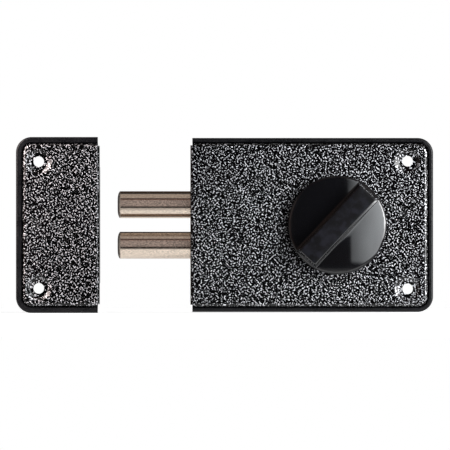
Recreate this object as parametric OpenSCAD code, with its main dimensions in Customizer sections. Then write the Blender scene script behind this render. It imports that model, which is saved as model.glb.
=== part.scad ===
// Rim box lock: two round bolts on a racked carriage, thrown by one turn of a knob, with its strike box.
// The origin is the knob's axis on the door face. +X runs away from the bolts, +Y into the door, +Z up.
// Pieces are drawn lying on the door face, with Z as the depth of the case, and upright() stands them up.

/* [Case] */
// Front wall to the knob's axis
backset = 76; // [74:0.5:90]
// Knob's axis to the far end of the lock case
far_reach = 49.5; // [48:0.5:70]
// Height of the lock case
case_height = 90; // [86:1:120]
// Door face to the face of the cover
case_depth = 30; // [29:0.5:40]
// Outer radius of the two rounded corners
corner_radius = 8; // [6:0.5:14]
// Thickness of the lock's black surround
surround_wall = 2.4; // [1.6:0.1:3.2]
// Radius on the surrounds' outer edges
surround_edge = 0.9; // [0.4:0.1:1.1]
// Chamfer on the surrounds' inner edges
surround_chamfer = 0.5; // [0.2:0.1:0.7]
// Height of the covers' faces above the surrounds
cover_rise = 1.5; // [0.4:0.1:3]
// Slot between a surround and its cover
cover_gap = 0.5; // [0.3:0.05:0.8]
// Sheet thickness of the covers
cover_sheet = 1.2; // [0.8:0.1:1.6]
// Inner radius of the covers' bends
bend_inner = 0.3; // [0.2:0.1:1]
// Depth of the lips that turn down inside the surrounds
lip_depth = 8; // [5:0.5:14]
// How far the surrounds' ends stand back from the front walls
surround_setback = 1; // [0.5:0.1:2]
// Bend relief at each end of a front wall
wall_relief = 0.9; // [0.5:0.1:2]
// Thickness of the steel back plates
back_plate = 2; // [1.5:0.1:3]

/* [Fixings] */
// Upper and lower edge of the lock to its face screws
case_screw_margin = 12; // [11:0.25:16]
// Upper and lower edge of the strike to its face screws
strike_screw_margin = 12.75; // [12:0.25:16]
// Far end to the lock's face screws
case_screw_inset = 13.2; // [11:0.1:16]
// Far end to the strike's face screws
strike_screw_inset = 11.8; // [11:0.1:14]
// Hole for a face screw in the covers
screw_hole_d = 5.5; // [4:0.1:6]
// Width of the pressed dimple round a face screw
dimple_d = 14.4; // [12:0.1:16]
// Depth of the pressed dimple
dimple_depth = 1.1; // [0.8:0.1:2.4]
// Bore of the spacer under a dimple, and of the hole behind it
spacer_bore = 7; // [6:0.1:8]
// Wall of the spacer
spacer_wall = 2; // [1.2:0.1:2.5]
// How far each flange reaches round the edge of the door or frame
flange_reach = 22; // [16:1:35]
// Height of each flange
flange_height = 60; // [56:1:72]
// Distance between the two screws of a flange
flange_screw_spacing = 40; // [30:1:48]
// Hole for a flange screw
flange_hole_d = 4.5; // [3.5:0.1:5.5]
// Diameter of the assembly screws
assembly_screw_d = 4; // [3:0.1:5]
// Diameter of the threaded pillars under the covers
pillar_d = 8; // [7:0.2:10]
// Upper and lower edge of the lock to its threaded pillars
pillar_inset = 10; // [9:0.5:12]
// Upper and lower edge of the strike to its threaded pillars
strike_pillar_inset = 10.5; // [9.5:0.5:12]
// Front wall to the first pair of pillars
front_pillar_x = 12; // [9:0.5:15]
// Pitch from the first to the second pair of pillars in the lock case
pillar_pitch = 72; // [60:1:80]

/* [Bolts] */
// Diameter of a bolt
bolt_d = 14; // [12:0.5:15]
// Distance between the two bolts
bolt_spacing = 21; // [20:0.5:26]
// Length of a bolt
bolt_length = 62; // [60:0.5:63]
// Height of the bolts' axes over the door face
bolt_height = 16; // [15:0.5:18]
// Axial length of the rounded nose
nose_length = 1.5; // [0.5:0.1:3]
// Radial width of the rounded nose
nose_width = 4.5; // [1:0.1:5]
// Gap round a bolt where it leaves the front wall
bolt_hole_gap = 0.5; // [0.3:0.1:1]
// Length of the cast bolt guide
guide_length = 14; // [10:0.5:15]
// Wall round a bolt in the guide
guide_wall = 3; // [2:0.1:3.2]
// Diameter of the screws in the bolts' tails
tail_screw_d = 6; // [5:0.5:8]

/* [Drive] */
// Teeth on the pinion; one turn of the knob throws the bolts by its pitch circumference
pinion_teeth = 12; // [12:1:13]
// Module of the pinion and the rack
gear_module = 1; // [0.95:0.01:1.05]
// Pressure angle of the teeth
pressure_angle = 25; // [24:0.5:27]
// Play between the teeth along the pitch line
backlash = 0.2; // [0.1:0.02:0.3]
// Thickness of the carriage plate
carriage_plate = 3; // [2.5:0.1:3.5]
// Gap between the back plate and the carriage
carriage_lift = 1; // [0.8:0.1:1.5]
// Width of a carriage arm beside the drive window
arm_width = 11.75; // [11:0.25:13]
// Diameter of the posts that guide the carriage
post_d = 6; // [5:0.1:7]
// Depth of a detent notch
notch_depth = 1.2; // [0.8:0.1:1.6]
// Thickness of the detent spring
spring_sheet = 0.6; // [0.4:0.1:0.8]
// Diameter of the hub's front journal
hub_d = 13; // [12.4:0.2:13.4]
// Width of the square spindle
spindle_square = 7; // [6:0.1:7.2]
// Length of the slot for the tail of an outside cylinder
tail_slot = 7; // [6.4:0.1:7.2]
// Width of that slot
tail_slot_width = 2.2; // [1.8:0.1:2.6]

/* [Knob] */
// Diameter of the knob
knob_d = 51; // [44:0.5:56]
// Height of the knob's skirt
knob_skirt = 6; // [5:0.25:9]
// Slope of the domed face at its edge, in degrees
knob_slope = 16; // [8:1:20]
// Radius between skirt and dome
knob_edge = 1; // [0.6:0.1:3]
// Total height of the knob
knob_height = 18.4; // [16:0.2:24]
// Length of the grip at its top
grip_length = 46; // [38:0.5:46.5]
// Width of the grip at its top
grip_width = 11; // [8:0.25:14]
// Draft of the grip's sides, in degrees
grip_draft = 6; // [2:0.5:8]
// Angle of the grip above the horizontal, bolts thrown
grip_angle = 47; // [0:1:90]
// Gap between the knob and the cover
knob_gap = 0.8; // [0.7:0.05:1.5]
// Wall of the moulded knob
knob_wall = 2.2; // [1.6:0.1:3]

/* [Strike] */
// Length of the strike box
strike_length = 43.2; // [42:0.2:60]
// Height of the strike box
strike_height = 91; // [88:1:120]
// Thickness of the strike's black surround
strike_wall = 3.1; // [2.4:0.1:3.6]
// Front wall of the lock to the strike as they lie apart
strike_gap = 47; // [44:0.5:80]
// Gap round a bolt in the strike
strike_hole_gap = 0.75; // [0.5:0.05:1.2]
// Thickness of the guard plate behind the strike's front wall
guard_plate = 2.5; // [2:0.1:4]

/* [Hidden] */
$fn = 64;

// Small fits and the overshoot that keeps a cut clear of the face it opens
running_fit = 0.05;
seat_fit = 0.05;
slide_fit = 0.1;
air = 0.5;
cut = 1;

case_length = backset + far_reach;
wall_top = case_depth - cover_rise;
bend_outer = cover_sheet + bend_inner;
lip_bottom = case_depth - lip_depth;
flange_bend = back_plate + 0.5;
pillar_top = case_depth - cover_sheet;
dimple_floor = case_depth - dimple_depth;
spacer_top = dimple_floor - cover_sheet;
spacer_d = spacer_bore + 2 * spacer_wall;
pillar_neck_d = pillar_d - 1.6;
ring_d = pillar_d + 4;
ring_height = 3;
head_d = 2 * assembly_screw_d;
head_depth = assembly_screw_d / 2;
head_recess = 0.25;
cross_width = 0.9;
cross_depth = 1.4;
case_screw_length = 12;
strike_face = -backset - strike_gap;
case_screw = [case_length - case_screw_inset, case_height - 2 * case_screw_margin];
strike_screw = [strike_length - strike_screw_inset, strike_height - 2 * strike_screw_margin];
case_pillars = [for (x = [0, pillar_pitch], s = [1, -1])
    [front_pillar_x + x, s * (case_height / 2 - pillar_inset)]];
strike_pillar_places = [for (s = [1, -1])
    [front_pillar_x, s * (strike_height / 2 - strike_pillar_inset)]];

pitch_radius = gear_module * pinion_teeth / 2;
tooth_pitch = PI * gear_module;
throw = 2 * PI * pitch_radius;
addendum = gear_module;
dedendum = 1.25 * gear_module;
base_radius = pitch_radius * cos(pressure_angle);
tip_radius = pitch_radius + addendum;
root_radius = pitch_radius - dedendum;
rack_teeth = pinion_teeth + 3;

carriage_bottom = back_plate + carriage_lift;
carriage_top = carriage_bottom + carriage_plate;
ear_bend = carriage_plate + 1;
ear_top = bolt_height + bolt_d / 2 + 1;
bolt_tail = -backset - throw + bolt_length;
rack_root = pitch_radius + dedendum;
arm_outer = rack_root + arm_width;
arm_end = 1.5 * tooth_pitch;
window_gap = 1;
window_start = -throw - tip_radius - window_gap;
window_bottom = -tip_radius - 1.5 * window_gap;
post_x = -4;
post_y = (rack_root + arm_outer) / 2;
post_rivet_d = 4;
post_groove_d = post_d - 1.6;
post_collar = 1.5;
post_head = 0.8;
clip_sheet = 0.6;
clip_rim = 2;
notch_x = -4;
notch_half = 2.5 * notch_depth;
spring_reach = 32;
spring_drop = 7;
spring_tail = 4;
spring_straight = 6;
knee_reach = 7;
knee_drop = 3;
spring_root = [notch_x - spring_reach, -arm_outer - spring_drop];
spring_seat = spring_root + [spring_straight, 0];
spring_knee = [notch_x - knee_reach, -arm_outer - knee_drop];
spring_tip = [notch_x, -arm_outer + notch_depth - spring_sheet / 2 - slide_fit];
spring_flick = [4, -3.6];
spring_end = spring_tip + spring_flick;
spring_width = 3;
spring_bottom = carriage_bottom + (carriage_plate - spring_width) / 2;
spring_post_d = 5;
spring_pin_d = 3;
post_overrun = 0.3;

wall_clearance = 0.2;
guide_front = cover_sheet + wall_clearance;
guide_outer = bolt_d / 2 + guide_wall;
guide_rim = 1.5;
guide_half_width = bolt_spacing / 2 + guide_outer + guide_rim;
guide_screw_inset = 4;
guide_screw_y = guide_half_width - guide_screw_inset;
foot_top = bolt_height - bolt_d / 2;
thread_floor = 0.6;
tail_washer = 1;
tail_washer_rim = 2.5;
tail_head = 3;
tail_head_rim = 1.6;
tail_thread = 12;
tail_bore = 16;
guard_foot = 12;
guard_bend = guard_plate + 1;
guard_margin = 5;
guard_half = bolt_spacing / 2 + bolt_d / 2 + guard_margin;
guard_top = pillar_top - 1.8;
guard_screw_inset = 4;
guard_screw_x = guide_front + guard_foot - guard_screw_inset;
guard_screw_y = guard_half - guard_margin;

bush_flange = 1;
bush_flange_rim = 2;
hub_rear = 0.3;
tooth_shroud = 0.2;
hub_disc_d = 2 * (tip_radius + tooth_shroud);
hub_disc_top = back_plate + air;
gear_top = carriage_top + air;
head_room = 4;
hub_floor = 1.4;
hub_web = gear_top + head_room;
square_seat = hub_web + hub_floor;
hub_front = case_depth - 0.4;
hub_screw_d = 3;
hub_screw_head_d = 5.6;
hub_screw_head = 2.2;
hub_screw_cross = [3.2, 0.8, 1.2];
hub_bore_d = hub_screw_head_d + 0.4;
barrel_d = max(hub_disc_d, hub_d + 0.8);
barrel_top = pillar_top - bush_flange - air / 2;
bush_wall = 2;
bush_proud = 0.2;
rear_bush_d = hub_disc_d + 2 * bush_wall;
cover_bush_d = hub_d + 2 * bush_wall;
spindle_hole = spindle_square + 2 * slide_fit;
knob_bottom = case_depth + knob_gap;
knob_top = knob_bottom + knob_height;
insert_d = 5.4;
insert_length = 4;
insert_bottom = knob_top - knob_wall - insert_length;
spindle_top = insert_bottom - 0.4;
knob_rib = 1.6;

// Points along an arc from one angle to another
function arc(centre, radius, from, to, steps = 8) =
    [for (i = [0:steps]) let (a = from + (to - from) * i / steps) centre + radius * [cos(a), sin(a)]];

// Angle, in degrees, that an involute turns through to reach its pressure angle a
function involute_turn(a) = tan(a) * 180 / PI - a;

// Stands a piece up: depth goes towards the room, along -Y
module upright() {
    rotate([90, 0, 0]) children();
}

// Places a shell or fitting of the lock case, whose own X starts at the front wall
module in_case() {
    upright() translate([-backset, 0, 0]) children();
}

// Places a shell or fitting of the strike, which faces the lock
module in_strike() {
    upright() translate([strike_face, 0, 0]) mirror([1, 0, 0]) children();
}

// Extrudes a wall section along +X, its own x turned to +Y and its y to the depth
module run(length) {
    rotate([90, 0, 90]) linear_extrude(length) children();
}

// Turns a wall section through a quarter, from -Y to +X
module corner(radius) {
    rotate(-90) rotate_extrude(angle = 90) translate([radius, 0]) mirror([1, 0]) children();
}

// Carries a wall section along the bottom, round the far end and back along the top of a box
module three_sides(start, length, half, radius) {
    side = length - radius - start;
    translate([start, -half, 0]) run(side) children();
    translate([length - radius, radius - half, 0]) corner(radius) children();
    translate([length, radius - half, 0]) rotate(90) run(2 * (half - radius)) children();
    translate([length - radius, half - radius, 0]) rotate(90) corner(radius) children();
    translate([length - radius, half, 0]) rotate(180) run(side) children();
}

// Section of a sheet that runs in from a bend by width and turns down from top to bottom
module bent_sheet(width, top, bottom, sheet, outer) {
    centre = [outer, top - outer];
    polygon(concat(
        [[0, bottom]],
        arc(centre, outer, 180, 90),
        width > outer ? [[width, top], [width, top - sheet]] : [],
        arc(centre, outer - sheet, 90, 180),
        [[sheet, bottom]]
    ));
}

// Countersunk hole that goes up through a plate whose outer face is at 0
module countersunk_hole(d, sink_d, depth, through) {
    translate([0, 0, -cut]) cylinder(d = d, h = through + 2 * cut);
    translate([0, 0, -cut]) cylinder(d = sink_d + 2 * cut, h = cut);
    cylinder(d1 = sink_d, d2 = d, h = depth);
}

// Countersunk cross-head screw driven up from the back plate's outer face
module countersunk_screw(length) {
    rim_d = head_d - 2.4 * head_recess;
    difference() {
        union() {
            translate([0, 0, head_recess])
                cylinder(d1 = rim_d, d2 = assembly_screw_d, h = head_depth - head_recess);
            translate([0, 0, head_depth]) cylinder(d = assembly_screw_d, h = length - head_depth);
        }
        for (a = [0, 90])
            rotate(a) translate([-head_d / 4, -cross_width / 2, -cut])
                cube([head_d / 2, cross_width, cut + cross_depth]);
    }
}

// Outline of a back plate, whose front edge stays in line with the surround's ends
module plate_outline(length, height) {
    inner = length - corner_radius;
    side = height / 2 - corner_radius;
    translate([surround_setback, -side]) square([length - surround_setback, 2 * side]);
    translate([surround_setback, -height / 2]) square([inner - surround_setback, height]);
    for (s = [1, -1])
        translate([inner, s * side]) circle(corner_radius);
}

// Flange that turns back round the edge of the door, with rounded corners and two countersunk holes
module flange() {
    relief_round = 4;
    difference() {
        intersection() {
            translate([0, flange_height / 2, 0]) rotate(-90) run(flange_height)
                bent_sheet(flange_bend, back_plate, -flange_reach, back_plate, flange_bend);
            union() {
                translate([-cut, -flange_height / 2, relief_round - flange_reach])
                    cube([flange_bend + 2 * cut, flange_height, flange_reach + back_plate]);
                translate([-cut, relief_round - flange_height / 2, -flange_reach])
                    cube([flange_bend + 2 * cut, flange_height - 2 * relief_round, flange_reach]);
                for (s = [1, -1])
                    translate([-cut, s * (flange_height / 2 - relief_round), relief_round - flange_reach])
                        rotate([0, 90, 0]) cylinder(r = relief_round, h = flange_bend + 2 * cut);
            }
        }
        for (s = [1, -1])
            translate([0, s * flange_screw_spacing / 2, -flange_reach / 2]) rotate([0, 90, 0])
                countersunk_hole(flange_hole_d, 2 * flange_hole_d, back_plate * 0.8, back_plate);
    }
}

// Back plate with its flange; screw holds the face screws' place and spacing
module back_plate_with_flange(length, height, screw, pillar_places) {
    bend_slot = 0.6;
    through = back_plate + 2 * cut;
    difference() {
        linear_extrude(back_plate) difference() {
            plate_outline(length, height);
            translate([-cut, -flange_height / 2 - bend_slot])
                square([flange_bend + cut, flange_height + 2 * bend_slot]);
        }
        for (s = [1, -1])
            translate([screw[0], s * screw[1] / 2, -cut]) cylinder(d = spacer_bore, h = through);
        for (p = pillar_places)
            translate(p) countersunk_hole(assembly_screw_d + 2 * slide_fit, head_d, head_depth, back_plate);
        children();
    }
    flange();
}

// Black surround: one wall round three sides, with a ring inside that each threaded pillar clamps
module surround(length, height, wall, pillar_places) {
    three_sides(surround_setback, length, height / 2, corner_radius) polygon(concat(
        [[0, back_plate]],
        arc([surround_edge, wall_top - surround_edge], surround_edge, 180, 90),
        [[wall - surround_chamfer, wall_top], [wall, wall_top - surround_chamfer], [wall, back_plate]]
    ));
    difference() {
        for (p = pillar_places)
            let (reach = height / 2 - wall - abs(p[1]))
            translate([p[0], p[1], back_plate]) {
                cylinder(d = ring_d, h = ring_height);
                translate([-ring_d / 2, p[1] > 0 ? 0 : -reach, 0]) cube([ring_d, reach, ring_height]);
            }
        for (p = pillar_places)
            translate([p[0], p[1], back_plate - cut])
                cylinder(d = pillar_neck_d + 2 * slide_fit, h = ring_height + 2 * cut);
    }
}

// Pressed dimple round a face screw: an S-shaped slope down to a flat seat with the hole
module dimple() {
    seat = screw_hole_d / 2 + 1.2;
    rim = dimple_d / 2;
    slope = [for (i = [0:10]) let (k = i / 10)
        [rim + (seat - rim) * k, case_depth - dimple_depth * (1 - cos(180 * k)) / 2]];
    below = [for (i = [10:-1:0]) slope[i] - [0, cover_sheet]];
    rotate_extrude() polygon(concat(
        slope,
        [[screw_hole_d / 2, dimple_floor], [screw_hole_d / 2, dimple_floor - cover_sheet]],
        below
    ));
}

// Flat part of a cover, inside its bends
module face_outline(far, half, radius) {
    side = half - radius;
    translate([bend_outer, -side]) square([far - 2 * bend_outer, 2 * side]);
    translate([bend_outer, bend_outer - half]) square([far - radius - bend_outer, 2 * (half - bend_outer)]);
    for (s = [1, -1])
        translate([far - radius, s * side]) circle(radius - bend_outer);
}

// Pressed cover: face, lips on three sides and a front wall with two bolt holes
module cover(length, height, wall, screw, bolt_hole_d) {
    inset = wall + cover_gap;
    far = length - inset;
    half = height / 2 - inset;
    radius = corner_radius - inset;
    wall_half = half - wall_relief;
    difference() {
        union() {
            translate([0, 0, pillar_top]) linear_extrude(cover_sheet) face_outline(far, half, radius);
            three_sides(bend_outer, far, half, radius)
                bent_sheet(bend_outer, case_depth, lip_bottom, cover_sheet, bend_outer);
            translate([0, wall_half, 0]) rotate(-90) run(2 * wall_half)
                bent_sheet(bend_outer, case_depth, back_plate + wall_clearance, cover_sheet, bend_outer);
        }
        for (s = [1, -1]) {
            translate([screw[0], s * screw[1] / 2, pillar_top - cut])
                cylinder(d = dimple_d, h = cover_sheet + 2 * cut);
            translate([-cut, s * bolt_spacing / 2, bolt_height]) rotate([0, 90, 0])
                cylinder(d = bolt_hole_d, h = cover_sheet + 2 * cut);
        }
        children();
    }
    for (s = [1, -1])
        translate([screw[0], s * screw[1] / 2, 0]) dimple();
}

// Threaded pillars under a cover, with a neck that passes the surround's ring
module pillars(places) {
    for (p = places)
        translate([p[0], p[1], back_plate]) difference() {
            union() {
                cylinder(d = pillar_neck_d, h = ring_height + cut);
                translate([0, 0, ring_height])
                    cylinder(d = pillar_d, h = pillar_top - back_plate - ring_height);
            }
            translate([0, 0, -cut])
                cylinder(d = assembly_screw_d + 2 * seat_fit, h = case_screw_length + cut);
        }
}

// Tubes that carry the face screws' load from the dimples to the back plate
module spacers(screw) {
    for (s = [1, -1])
        translate([screw[0], s * screw[1] / 2, back_plate]) difference() {
            cylinder(d = spacer_d, h = spacer_top - back_plate);
            translate([0, 0, -cut]) cylinder(d = spacer_bore, h = case_depth);
        }
}

module case_back_plate() {
    through = back_plate + 2 * cut;
    in_case() color([0.09, 0.09, 0.1])
    back_plate_with_flange(case_length, case_height, case_screw, case_pillars) {
        translate([backset, 0, -cut]) cylinder(d = rear_bush_d, h = through);
        for (s = [1, -1]) {
            translate([guide_front + guide_length / 2, s * guide_screw_y, 0])
                countersunk_hole(assembly_screw_d + 2 * slide_fit, head_d, head_depth, back_plate);
            translate([backset + post_x, s * post_y, -cut]) cylinder(d = post_rivet_d, h = through);
        }
        for (p = [spring_root, spring_pin_place()])
            translate([backset + p[0], p[1], -cut]) cylinder(d = spring_pin_d, h = through);
    }
}

module case_surround() {
    in_case() color([0.06, 0.06, 0.07]) surround(case_length, case_height, surround_wall, case_pillars);
}

module case_cover() {
    in_case() color([0.36, 0.36, 0.38])
        cover(case_length, case_height, surround_wall, case_screw, bolt_d + 2 * bolt_hole_gap)
            translate([backset, 0, pillar_top - cut])
                cylinder(d = cover_bush_d + 2 * seat_fit, h = cover_sheet + 2 * cut);
}

module cover_pillars() {
    in_case() color([0.7, 0.7, 0.68]) pillars(case_pillars);
}

module case_screws() {
    in_case() color([0.72, 0.7, 0.6])
        for (p = case_pillars)
            translate(p) countersunk_screw(case_screw_length);
}

module screw_spacers() {
    in_case() color([0.7, 0.7, 0.68]) spacers(case_screw);
}

// Cast guide: two barrels on a foot, behind the front wall
module bolt_guide() {
    thread = foot_top - back_plate - thread_floor;
    in_case() color([0.6, 0.6, 0.62]) translate([guide_front, 0, 0]) difference() {
        union() {
            translate([0, -guide_half_width, back_plate])
                cube([guide_length, 2 * guide_half_width, foot_top - back_plate]);
            for (s = [1, -1])
                translate([0, s * bolt_spacing / 2, bolt_height]) rotate([0, 90, 0])
                    cylinder(r = guide_outer, h = guide_length);
            translate([0, -bolt_spacing / 2, back_plate])
                cube([guide_length, bolt_spacing, bolt_height - back_plate]);
        }
        for (s = [1, -1]) {
            translate([-cut, s * bolt_spacing / 2, bolt_height]) rotate([0, 90, 0])
                cylinder(d = bolt_d + 2 * running_fit, h = guide_length + 2 * cut);
            translate([guide_length / 2, s * guide_screw_y, back_plate - cut])
                cylinder(d = assembly_screw_d + 2 * seat_fit, h = thread + cut);
        }
    }
}

module guide_screws() {
    in_case() color([0.72, 0.7, 0.6])
        for (s = [1, -1])
            translate([guide_front + guide_length / 2, s * guide_screw_y, 0])
                countersunk_screw(foot_top - thread_floor - air);
}

// Riveted posts with a collar under the carriage and a groove over it
module carriage_posts() {
    groove = clip_sheet + 2 * slide_fit;
    upright() color([0.7, 0.7, 0.68])
        for (s = [1, -1])
            translate([post_x, s * post_y, 0]) {
                cylinder(d = post_rivet_d - 2 * seat_fit, h = back_plate);
                translate([0, 0, back_plate]) {
                    cylinder(d = post_d + 2 * post_collar, h = carriage_lift - slide_fit);
                    cylinder(d = post_d, h = carriage_lift + carriage_plate + slide_fit);
                }
                translate([0, 0, carriage_top]) {
                    cylinder(d = post_groove_d, h = slide_fit + groove + post_head / 2);
                    translate([0, 0, slide_fit + groove]) cylinder(d = post_d, h = post_head);
                }
            }
}

// Spring clips in the grooves of the posts
module post_clips() {
    upright() color([0.3, 0.3, 0.32])
        for (s = [1, -1])
            translate([post_x, s * post_y, carriage_top + 2 * slide_fit])
                linear_extrude(clip_sheet) difference() {
                    circle(d = post_d + 2 * clip_rim);
                    circle(d = post_groove_d + 2 * seat_fit);
                    translate([0, -post_groove_d * 0.4]) square([post_d, post_groove_d * 0.8]);
                }
}

// Plain bush in the back plate, for the hub's disc
module rear_bush() {
    upright() color([0.75, 0.6, 0.35]) difference() {
        cylinder(d = rear_bush_d - 2 * seat_fit, h = back_plate);
        translate([0, 0, -cut]) cylinder(d = hub_disc_d + 2 * running_fit, h = back_plate + 2 * cut);
    }
}

// Bush in the cover, flanged underneath, for the hub's front journal
module cover_bush() {
    upright() color([0.75, 0.6, 0.35]) difference() {
        union() {
            translate([0, 0, pillar_top - bush_flange]) cylinder(d = cover_bush_d + 2 * bush_flange_rim, h = bush_flange);
            translate([0, 0, pillar_top]) cylinder(d = cover_bush_d, h = cover_sheet + bush_proud);
        }
        translate([0, 0, pillar_top - bush_flange - cut])
            cylinder(d = hub_d + 2 * running_fit, h = bush_flange + cover_sheet + 3 * cut);
    }
}

// Centre of the pin that the detent spring bears on, a third of the way along the spring's slope
function spring_pin_place() =
    let (
        slope = spring_knee - spring_seat,
        along = slope / norm(slope),
        off = spring_pin_d / 2 + spring_sheet / 2 + seat_fit
    )
    spring_seat + slope / 3 + off * [along[1], -along[0]];

// Leaf spring, its bend seated in a notch of the lower arm
module detent_spring() {
    line = [spring_root - [spring_tail, 0], spring_seat, spring_knee, spring_tip, spring_end];
    upright() color([0.55, 0.57, 0.6]) translate([0, 0, spring_bottom]) linear_extrude(spring_width)
        for (i = [0:3])
            hull() {
                translate(line[i]) circle(d = spring_sheet, $fn = 24);
                translate(line[i + 1]) circle(d = spring_sheet, $fn = 24);
            }
}

// Slotted post that grips the spring's end, and the pin that the spring bears on
module spring_posts() {
    slot = spring_sheet + 2 * seat_fit;
    top = spring_bottom + spring_width;
    upright() color([0.7, 0.7, 0.68]) {
        translate([spring_root[0], spring_root[1], 0]) difference() {
            union() {
                cylinder(d = spring_pin_d - 2 * seat_fit, h = back_plate);
                translate([0, 0, back_plate])
                    cylinder(d = spring_post_d, h = top + post_overrun - back_plate);
            }
            translate([-spring_post_d, -slot / 2, spring_bottom - seat_fit])
                cube([2 * spring_post_d, slot, spring_width + cut]);
        }
        translate(spring_pin_place()) cylinder(d = spring_pin_d - 2 * seat_fit, h = top);
    }
}

// Rack teeth, pointing down at the pinion, with a gap over its axis
module rack() {
    half = tooth_pitch / 4 - backlash / 4;
    lean = tan(pressure_angle);
    for (k = [0:rack_teeth - 1])
        translate([(0.5 - k) * tooth_pitch, pitch_radius]) polygon([
            [-half - lean * dedendum, dedendum + 0.1], [-half + lean * addendum, -addendum],
            [half - lean * addendum, -addendum], [half + lean * dedendum, dedendum + 0.1]
        ]);
}

// Plan of the carriage: two slotted arms, the upper one racked and the lower one notched
module carriage_plan() {
    slot_half = post_d / 2 + slide_fit;
    difference() {
        union() {
            difference() {
                translate([bolt_tail + ear_bend, -arm_outer])
                    square([arm_end - bolt_tail - ear_bend, 2 * arm_outer]);
                translate([window_start, window_bottom])
                    square([arm_end - window_start + cut, rack_root - window_bottom]);
            }
            rack();
        }
        for (s = [1, -1]) translate([post_x, s * post_y]) {
            translate([-throw - air, -slot_half]) square([throw + 2 * air, 2 * slot_half]);
            for (x = [-throw - air, air]) translate([x, 0]) circle(slot_half);
        }
        for (x = [notch_x, notch_x - throw])
            translate([x, -arm_outer]) polygon([
                [-notch_half, 0], [-notch_half, -cut], [notch_half, -cut], [notch_half, 0], [0, notch_depth]
            ]);
    }
}

// Carriage: racked plate with an ear turned up at its front, bored for the bolts' tail screws
module carriage() {
    upright() color([0.66, 0.64, 0.58]) {
        translate([0, 0, carriage_bottom]) linear_extrude(carriage_plate) carriage_plan();
        difference() {
            translate([bolt_tail, arm_outer, 0]) rotate(-90) run(2 * arm_outer) mirror([0, 1])
                bent_sheet(ear_bend, -carriage_bottom, -ear_top, carriage_plate, ear_bend);
            for (s = [1, -1])
                translate([bolt_tail - cut, s * bolt_spacing / 2, bolt_height]) rotate([0, 90, 0])
                    cylinder(d = tail_screw_d + 2 * slide_fit, h = carriage_plate + 2 * cut);
        }
    }
}

// Round bolt with a rounded nose and a tapped tail, its axis along X
module bolt() {
    r = bolt_d / 2;
    bevel = 0.4;
    nose = [for (i = [0:8]) let (a = 90 * i / 8)
        [r - nose_width * (1 - sin(a)), nose_length * (1 - cos(a))]];
    tail = [[r, bolt_length - bevel], [r - bevel, bolt_length], [0, bolt_length]];
    translate([bolt_tail - bolt_length, 0, bolt_height]) rotate([0, 90, 0]) difference() {
        rotate_extrude() polygon(concat([[0, 0]], nose, tail));
        translate([0, 0, bolt_length - tail_bore])
            cylinder(d = tail_screw_d + 2 * seat_fit, h = tail_bore + cut);
    }
}

module bolt_upper() {
    upright() color([0.74, 0.68, 0.6]) translate([0, bolt_spacing / 2, 0]) bolt();
}

module bolt_lower() {
    upright() color([0.74, 0.68, 0.6]) translate([0, -bolt_spacing / 2, 0]) bolt();
}

module tail_washers() {
    hole = tail_screw_d + 2 * slide_fit;
    upright() color([0.7, 0.7, 0.68])
        for (s = [1, -1])
            translate([bolt_tail + carriage_plate, s * bolt_spacing / 2, bolt_height]) rotate([0, 90, 0])
                difference() {
                    cylinder(d = tail_screw_d + 2 * tail_washer_rim, h = tail_washer);
                    translate([0, 0, -cut]) cylinder(d = hole, h = tail_washer + 2 * cut);
                }
}

// Hexagon screws that hold the bolts to the ear
module tail_screws() {
    head_start = bolt_tail + carriage_plate + tail_washer;
    upright() color([0.72, 0.7, 0.6])
        for (s = [1, -1])
            translate([head_start, s * bolt_spacing / 2, bolt_height]) rotate([0, 90, 0]) {
                cylinder(d = (tail_screw_d + 2 * tail_head_rim) / cos(30), h = tail_head, $fn = 6);
                translate([0, 0, bolt_tail - head_start - tail_thread])
                    cylinder(d = tail_screw_d, h = head_start - bolt_tail + tail_thread);
            }
}

// Shape of the pinion's teeth, one of them pointing up
module pinion_teeth_plan() {
    play = backlash / 4 / pitch_radius * 180 / PI;
    half_turn = 90 / pinion_teeth - play + involute_turn(pressure_angle);
    steps = 5;
    start = max(base_radius, root_radius);
    flank = concat(
        [[root_radius, half_turn]],
        [for (i = [0:steps]) let (r = start + (tip_radius - start) * i / steps)
            [r, half_turn - involute_turn(acos(min(1, base_radius / r)))]]
    );
    count = len(flank);
    polygon([for (k = [0:pinion_teeth - 1], i = [0:2 * count - 1])
        let (
            rising = i < count,
            p = flank[rising ? i : 2 * count - 1 - i],
            a = 90 - k * 360 / pinion_teeth + (rising ? p[1] : -p[1])
        )
        p[0] * [cos(a), sin(a)]
    ]);
}

// Hub: disc in the rear bush, pinion, barrel and front journal, with a slot for an outside tail
module pinion_hub() {
    upright() color([0.62, 0.62, 0.64]) difference() {
        union() {
            translate([0, 0, hub_rear]) cylinder(d = hub_disc_d, h = hub_disc_top - hub_rear);
            translate([0, 0, hub_rear + seat_fit]) linear_extrude(gear_top - hub_rear) pinion_teeth_plan();
            translate([0, 0, gear_top]) cylinder(d = barrel_d, h = barrel_top - gear_top);
            translate([0, 0, hub_web]) cylinder(d = hub_d, h = hub_front - hub_web);
        }
        translate([0, 0, -cut]) cylinder(d = hub_bore_d, h = hub_web + cut);
        translate([-tail_slot / 2, -tail_slot_width / 2, -cut])
            cube([tail_slot, tail_slot_width, carriage_top + cut]);
        cylinder(d = hub_screw_d + 2 * slide_fit, h = case_depth);
        rotate(grip_angle) translate([-spindle_hole / 2, -spindle_hole / 2, square_seat])
            cube([spindle_hole, spindle_hole, case_depth]);
    }
}

// Square spindle between the hub and the knob, bored for the hub's screw
module knob_spindle() {
    upright() color([0.7, 0.7, 0.68]) rotate(grip_angle) difference() {
        translate([-spindle_square / 2, -spindle_square / 2, square_seat])
            cube([spindle_square, spindle_square, spindle_top - square_seat]);
        translate([0, 0, square_seat - cut])
            cylinder(d = hub_screw_d + 2 * slide_fit, h = spindle_top - square_seat + 2 * cut);
    }
}

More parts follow.
